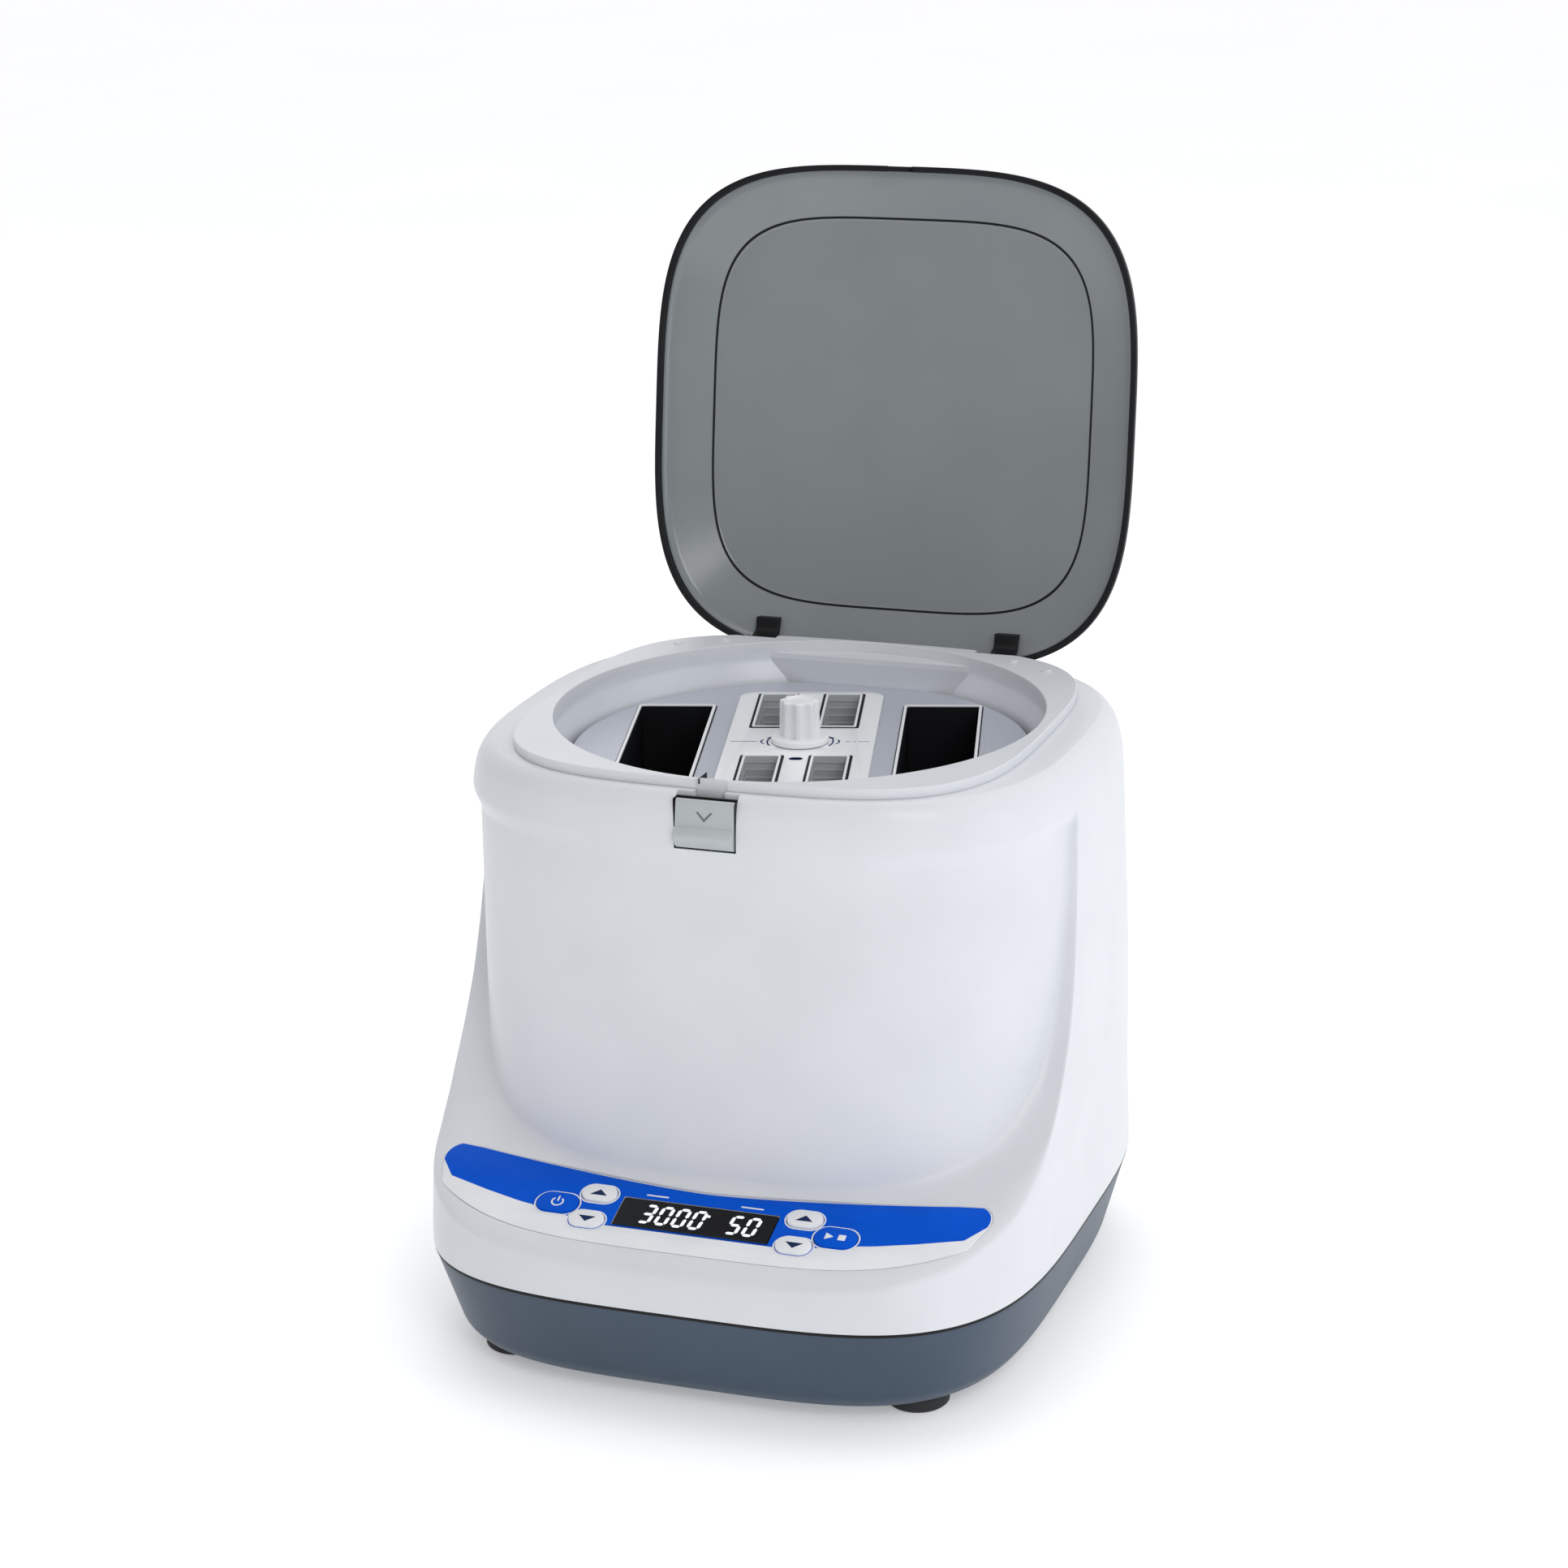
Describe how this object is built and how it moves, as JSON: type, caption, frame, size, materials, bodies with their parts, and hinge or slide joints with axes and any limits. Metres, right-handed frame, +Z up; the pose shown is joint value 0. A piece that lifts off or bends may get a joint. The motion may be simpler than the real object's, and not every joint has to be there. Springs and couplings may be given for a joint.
{
  "type": "laboratory centrifuge",
  "caption": "Benchtop plate-spinning centrifuge with a hinged smoked lid, a rotor with on-edge plate pockets and a sloped control ledge with display and keys.",
  "frame": {"origin": "centre of the bounding box's footprint with the lid open, at the bottom of the feet", "axes": "+X to the right seen from the control panel, +Y to the back, +Z up"},
  "size_m": [0.3058, 0.3703, 0.5257],
  "materials": {
    "white_abs": "satin moulded",
    "grey_abs": "fine moulded grain",
    "bowl_grey": "satin moulded",
    "black_rubber": "matt rubber",
    "zinc_steel": "zinc plated",
    "motor_black": "black enamel",
    "membrane": "printed polyester film",
    "key_white": "printed polyester film",
    "display_black": "glossy tinted acrylic",
    "board_green": "solder mask",
    "black_nylon": "matt moulded",
    "rotor_grey": "satin moulded",
    "hub_alloy": "turned",
    "lid_smoke": "smoked clear polycarbonate",
    "latch_grey": "satin moulded"
  },
  "bodies": {
    "housing": {"upper_housing": "white_abs", "base_pan": "grey_abs", "rubber_feet": "black_rubber", "foot_screws": "zinc_steel", "housing_screws": "zinc_steel", "chamber_ring": "white_abs", "chamber_bowl": "bowl_grey", "shaft_boot": "black_rubber", "motor_body": "motor_black", "motor_plate": "zinc_steel", "motor_dampers": "black_rubber", "motor_screws": "zinc_steel", "control_membrane": "membrane", "display_window": "display_black", "display_module": "black_nylon", "control_board": "board_green", "board_screws": "zinc_steel", "power_board": "board_green", "power_board_screws": "zinc_steel", "power_inlet": "black_nylon", "fuse_drawer": "black_nylon", "hinge_brackets": "black_nylon", "hinge_pins": "zinc_steel", "hinge_screws": "zinc_steel", "latch_frame": "black_nylon", "latch_spring": "zinc_steel", "lock_solenoid": "motor_black", "lid_switch": "black_nylon", "lid_bumpers": "white_abs"},
    "rotor": {"motor_shaft": "zinc_steel", "rotor_hub": "hub_alloy", "rotor_disc": "rotor_grey", "plate_pocket_left": "black_nylon", "plate_pocket_right": "black_nylon", "centre_plate": "white_abs", "strip_tray_left_front": "rotor_grey", "strip_tray_left_rear": "rotor_grey", "strip_tray_right_front": "rotor_grey", "strip_tray_right_rear": "rotor_grey", "rotor_screws": "zinc_steel"},
    "knob": {"rotor_knob": "white_abs"},
    "lid": {"lid_shell": "lid_smoke", "lid_rim_trim": "black_nylon", "hinge_arm_left": "black_nylon", "hinge_arm_right": "black_nylon", "hinge_arm_screws": "zinc_steel", "latch_hook": "black_nylon"},
    "latch": {"latch_button": "latch_grey"},
    "bolt": {"latch_bolt": "zinc_steel"},
    "switch": {"power_switch": "black_nylon"},
    "key_power": {"key_power": "membrane"},
    "key_up_left": {"key_up_left": "key_white"},
    "key_down_left": {"key_down_left": "key_white"},
    "key_up_right": {"key_up_right": "key_white"},
    "key_down_right": {"key_down_right": "key_white"},
    "key_start": {"key_start": "membrane"}
  },
  "joints": [
    {"name": "lid_hinge", "type": "hinge", "parent": "housing", "child": "lid", "pos_m": [0, 0.12895, 0.2807], "axis": [1, 0, 0], "range_deg": [0, 99]},
    {"name": "rotor_spin", "type": "hinge", "parent": "housing", "child": "rotor", "pos_m": [0, 0.00555, 0.2685], "axis": [0, 0, 1], "continuous": true},
    {"name": "knob_turn", "type": "hinge", "parent": "rotor", "child": "knob", "pos_m": [0, 0.00555, 0.2685], "axis": [0, 0, 1], "continuous": true},
    {"name": "latch_press", "type": "slide", "parent": "housing", "child": "latch", "axis": [0, 1, 0], "range_m": [0, 0.002], "stiffness_N_per_m": 500, "springref_m": -0.002},
    {"name": "bolt_slide", "type": "slide", "parent": "housing", "child": "bolt", "axis": [1, 0, 0], "range_m": [0, 0.003]},
    {"name": "switch_rock", "type": "hinge", "parent": "housing", "child": "switch", "pos_m": [-0.035, 0.13675, 0.0945], "axis": [1, 0, 0], "range_deg": [-18, 0]},
    {"name": "press_power", "type": "slide", "parent": "housing", "child": "key_power", "axis": [0, 0.314, -0.9494], "range_m": [0, 0.0005], "stiffness_N_per_m": 600, "springref_m": -0.0005},
    {"name": "press_up_left", "type": "slide", "parent": "housing", "child": "key_up_left", "axis": [0, 0.314, -0.9494], "range_m": [0, 0.0005], "stiffness_N_per_m": 600, "springref_m": -0.0005},
    {"name": "press_down_left", "type": "slide", "parent": "housing", "child": "key_down_left", "axis": [0, 0.314, -0.9494], "range_m": [0, 0.0005], "stiffness_N_per_m": 600, "springref_m": -0.0005},
    {"name": "press_up_right", "type": "slide", "parent": "housing", "child": "key_up_right", "axis": [0, 0.314, -0.9494], "range_m": [0, 0.0005], "stiffness_N_per_m": 600, "springref_m": -0.0005},
    {"name": "press_down_right", "type": "slide", "parent": "housing", "child": "key_down_right", "axis": [0, 0.314, -0.9494], "range_m": [0, 0.0005], "stiffness_N_per_m": 600, "springref_m": -0.0005},
    {"name": "press_start", "type": "slide", "parent": "housing", "child": "key_start", "axis": [0, 0.314, -0.9494], "range_m": [0, 0.0005], "stiffness_N_per_m": 600, "springref_m": -0.0005}
  ],
  "couplings": [
    {"joint": "bolt_slide", "follows": "latch_press", "ratio": 1.5}
  ]
}
